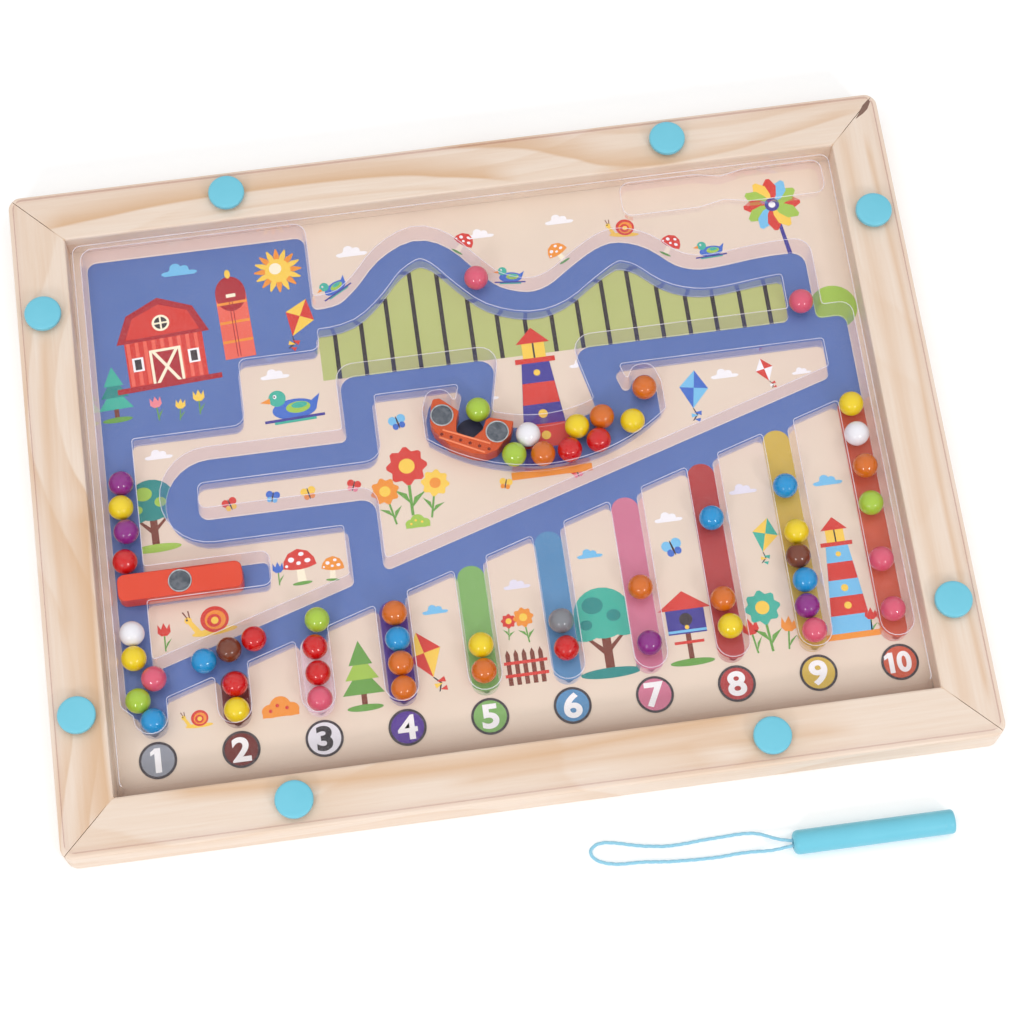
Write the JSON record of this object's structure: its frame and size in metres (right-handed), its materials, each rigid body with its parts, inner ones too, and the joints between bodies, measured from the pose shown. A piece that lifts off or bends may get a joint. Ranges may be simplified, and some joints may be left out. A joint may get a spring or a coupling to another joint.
{
  "type": "magnetic maze board",
  "caption": "Flat framed board with a clear moulded maze tray over a printed card, loose painted steel balls, a sliding gate, a swinging boat and a magnet wand on a cord.",
  "frame": {"origin": "middle of the board's flat back face", "axes": "+X along the board's long side, to the right as seen from the front; +Y along the short side, away from the wand; +Z out of the front face through the clear cover"},
  "size_m": [0.37, 0.3185, 0.0217],
  "materials": {
    "wood": "smooth oiled solid wood",
    "backing": "thin board",
    "card": "printed card",
    "clear_tray": "clear moulded sheet",
    "clear_cover": "clear flat sheet",
    "rivet_plastic": "satin light blue",
    "orange_plastic": "satin orange",
    "steel": "plain steel",
    "wand_plastic": "satin blue",
    "cord": "twisted cord",
    "bead_yellow": "glossy painted steel ball",
    "bead_red": "glossy painted steel ball",
    "bead_white": "glossy painted steel ball",
    "bead_pink": "glossy painted steel ball",
    "bead_green": "glossy painted steel ball",
    "bead_brown": "glossy painted steel ball",
    "bead_orange": "glossy painted steel ball",
    "bead_purple": "glossy painted steel ball",
    "bead_blue": "glossy painted steel ball"
  },
  "bodies": {
    "board": {"backing_board": "backing", "clear_cover": "clear_cover", "frame_rail_back": "wood", "frame_rail_front": "wood", "frame_rail_left": "wood", "frame_rail_right": "wood", "maze_tray": "clear_tray", "printed_card": "card", "rivet_1": "rivet_plastic", "rivet_2": "rivet_plastic", "rivet_3": "rivet_plastic", "rivet_4": "rivet_plastic", "rivet_5": "rivet_plastic", "rivet_6": "rivet_plastic", "rivet_7": "rivet_plastic", "rivet_8": "rivet_plastic"},
    "gate": {"gate_slider": "orange_plastic", "gate_disc": "steel"},
    "boat": {"boat_hull": "orange_plastic", "boat_disc_1": "steel", "boat_disc_2": "steel"},
    "boat_crowd": {"boat_beads_1": "bead_green", "boat_beads_2": "bead_red", "boat_beads_3": "bead_yellow", "boat_bead_orange": "bead_orange"},
    "boat_yellow": {"boat_bead_yellow": "bead_yellow"},
    "notch_ball": {"notch_bead": "bead_green"},
    "wand": {"wand_barrel": "wand_plastic", "wand_tip_cap": "wand_plastic", "wand_magnet": "steel", "wand_cord": "cord"},
    "lane_top": {"lane_beads_top": "bead_purple", "lane_bead_red": "bead_red"},
    "lane_middle": {"lane_beads_middle": "bead_yellow"},
    "lane_pink": {"lane_bead_pink": "bead_pink"},
    "lane_low": {"lane_beads_low": "bead_green"},
    "diagonal": {"diagonal_beads": "bead_brown"},
    "slot2": {"slot2_beads": "bead_red"},
    "slot3_green": {"slot3_bead_green": "bead_green"},
    "slot3": {"slot3_beads": "bead_red"},
    "slot4": {"slot4_beads": "bead_orange"},
    "slot5": {"slot5_beads": "bead_yellow"},
    "slot6": {"slot6_beads": "bead_red"},
    "slot7_orange": {"slot7_bead_orange": "bead_orange"},
    "slot7_purple": {"slot7_bead_purple": "bead_purple"},
    "slot8_blue": {"slot8_bead_blue": "bead_blue"},
    "slot8": {"slot8_beads": "bead_orange"},
    "slot9_blue": {"slot9_bead_blue": "bead_blue"},
    "slot9": {"slot9_beads": "bead_brown"},
    "slot10_yellow": {"slot10_bead_yellow": "bead_yellow"},
    "slot10_white": {"slot10_bead_white": "bead_white"},
    "slot10_orange": {"slot10_bead_orange": "bead_orange"},
    "slot10_green": {"slot10_bead_green": "bead_green"},
    "slot10_pink_1": {"slot10_bead_pink_1": "bead_pink"},
    "slot10_pink_2": {"slot10_bead_pink_2": "bead_pink"},
    "track_pink": {"track_bead_pink": "bead_pink"},
    "link_pink": {"link_bead_pink": "bead_pink"},
    "boat_last": {"boat_bead_last": "bead_orange"}
  },
  "joints": [
    {"name": "boat_swing", "type": "hinge", "parent": "board", "child": "boat", "pos_m": [0.025, 0.072, 0.0087], "axis": [0, 0, 1], "range_deg": [0, 7]},
    {"name": "boat_swing_crowd", "type": "hinge", "parent": "board", "child": "boat_crowd", "pos_m": [0.025, 0.072, 0.0097], "axis": [0, 0, 1], "range_deg": [0, 7]},
    {"name": "boat_swing_yellow", "type": "hinge", "parent": "board", "child": "boat_yellow", "pos_m": [0.025, 0.072, 0.0097], "axis": [0, 0, 1], "range_deg": [0, 5]},
    {"name": "boat_swing_notch_ball", "type": "slide", "parent": "board", "child": "notch_ball", "axis": [0, 1, 0], "range_m": [0, 0.0035]},
    {"name": "gate_slide", "type": "slide", "parent": "board", "child": "gate", "axis": [1, 0, 0], "range_m": [0, 0.0099]},
    {"name": "lift_wand", "type": "slide", "parent": "board", "child": "wand", "axis": [0, 0, 1], "range_m": [0, 0.06]},
    {"name": "roll_lane_top", "type": "slide", "parent": "board", "child": "lane_top", "axis": [0, 1, 0], "range_m": [0, 0.08]},
    {"name": "roll_lane_middle", "type": "slide", "parent": "board", "child": "lane_middle", "axis": [0, 1, 0], "range_m": [0, 0.006]},
    {"name": "roll_lane_pink", "type": "slide", "parent": "board", "child": "lane_pink", "axis": [1, 0, 0], "range_m": [0, 0.009]},
    {"name": "roll_lane_low", "type": "slide", "parent": "board", "child": "lane_low", "axis": [0, 1, 0], "range_m": [0, 0.003]},
    {"name": "roll_diagonal", "type": "slide", "parent": "board", "child": "diagonal", "axis": [0.9553, 0.2957, 0], "range_m": [0, 0.013]},
    {"name": "roll_slot2", "type": "slide", "parent": "board", "child": "slot2", "axis": [0, 1, 0], "range_m": [0, 0.003]},
    {"name": "roll_slot3_green", "type": "slide", "parent": "board", "child": "slot3_green", "axis": [0.9336, 0.3584, 0], "range_m": [0, 0.012]},
    {"name": "roll_slot3", "type": "slide", "parent": "board", "child": "slot3", "axis": [0, 1, 0], "range_m": [0, 0.003]},
    {"name": "roll_slot4", "type": "slide", "parent": "board", "child": "slot4", "axis": [0, 1, 0], "range_m": [0, 0.007]},
    {"name": "roll_slot5", "type": "slide", "parent": "board", "child": "slot5", "axis": [0, 1, 0], "range_m": [0, 0.029]},
    {"name": "roll_slot6", "type": "slide", "parent": "board", "child": "slot6", "axis": [0, 1, 0], "range_m": [0, 0.029]},
    {"name": "roll_slot7_orange", "type": "slide", "parent": "board", "child": "slot7_orange", "axis": [0, 1, 0], "range_m": [0, 0.029]},
    {"name": "roll_slot7_purple", "type": "slide", "parent": "board", "child": "slot7_purple", "axis": [0, 1, 0], "range_m": [0, 0.01]},
    {"name": "roll_slot8_blue", "type": "slide", "parent": "board", "child": "slot8_blue", "axis": [0, 1, 0], "range_m": [0, 0.015]},
    {"name": "roll_slot8", "type": "slide", "parent": "board", "child": "slot8", "axis": [0, 1, 0], "range_m": [0, 0.019]},
    {"name": "roll_slot9_blue", "type": "slide", "parent": "board", "child": "slot9_blue", "axis": [0, 1, 0], "range_m": [0, 0.018]},
    {"name": "roll_slot9", "type": "slide", "parent": "board", "child": "slot9", "axis": [0, 1, 0], "range_m": [0, 0.008]},
    {"name": "roll_slot10_yellow", "type": "slide", "parent": "board", "child": "slot10_yellow", "axis": [0, 1, 0], "range_m": [0, 0.02]},
    {"name": "roll_slot10_white", "type": "slide", "parent": "board", "child": "slot10_white", "axis": [0, 1, 0], "range_m": [0, 0.0022]},
    {"name": "roll_slot10_orange", "type": "slide", "parent": "board", "child": "slot10_orange", "axis": [0, 1, 0], "range_m": [0, 0.003]},
    {"name": "roll_slot10_green", "type": "slide", "parent": "board", "child": "slot10_green", "axis": [0, -1, 0], "range_m": [0, 0.01]},
    {"name": "roll_slot10_pink_1", "type": "slide", "parent": "board", "child": "slot10_pink_1", "axis": [0, -1, 0], "range_m": [0, 0.008]},
    {"name": "roll_slot10_pink_2", "type": "slide", "parent": "board", "child": "slot10_pink_2", "axis": [0, -1, 0], "range_m": [0, 0.005]},
    {"name": "roll_track_pink", "type": "slide", "parent": "board", "child": "track_pink", "axis": [-0.682, 0.7314, 0], "range_m": [0, 0.005]},
    {"name": "roll_link_pink", "type": "slide", "parent": "board", "child": "link_pink", "axis": [0, 1, 0], "range_m": [0, 0.018]},
    {"name": "roll_boat_last", "type": "slide", "parent": "board", "child": "boat_last", "axis": [-1, 0, 0], "range_m": [0, 0.0015]}
  ],
  "couplings": [
    {"joint": "boat_swing_crowd", "follows": "boat_swing", "ratio": 1},
    {"joint": "boat_swing_yellow", "follows": "boat_swing", "ratio": 0.7},
    {"joint": "boat_swing_notch_ball", "follows": "boat_swing", "m_per_rad": 0.0245},
    {"joint": "roll_lane_low", "follows": "roll_lane_pink", "ratio": 0.3333},
    {"joint": "roll_slot3", "follows": "roll_slot3_green", "ratio": 0.25}
  ]
}
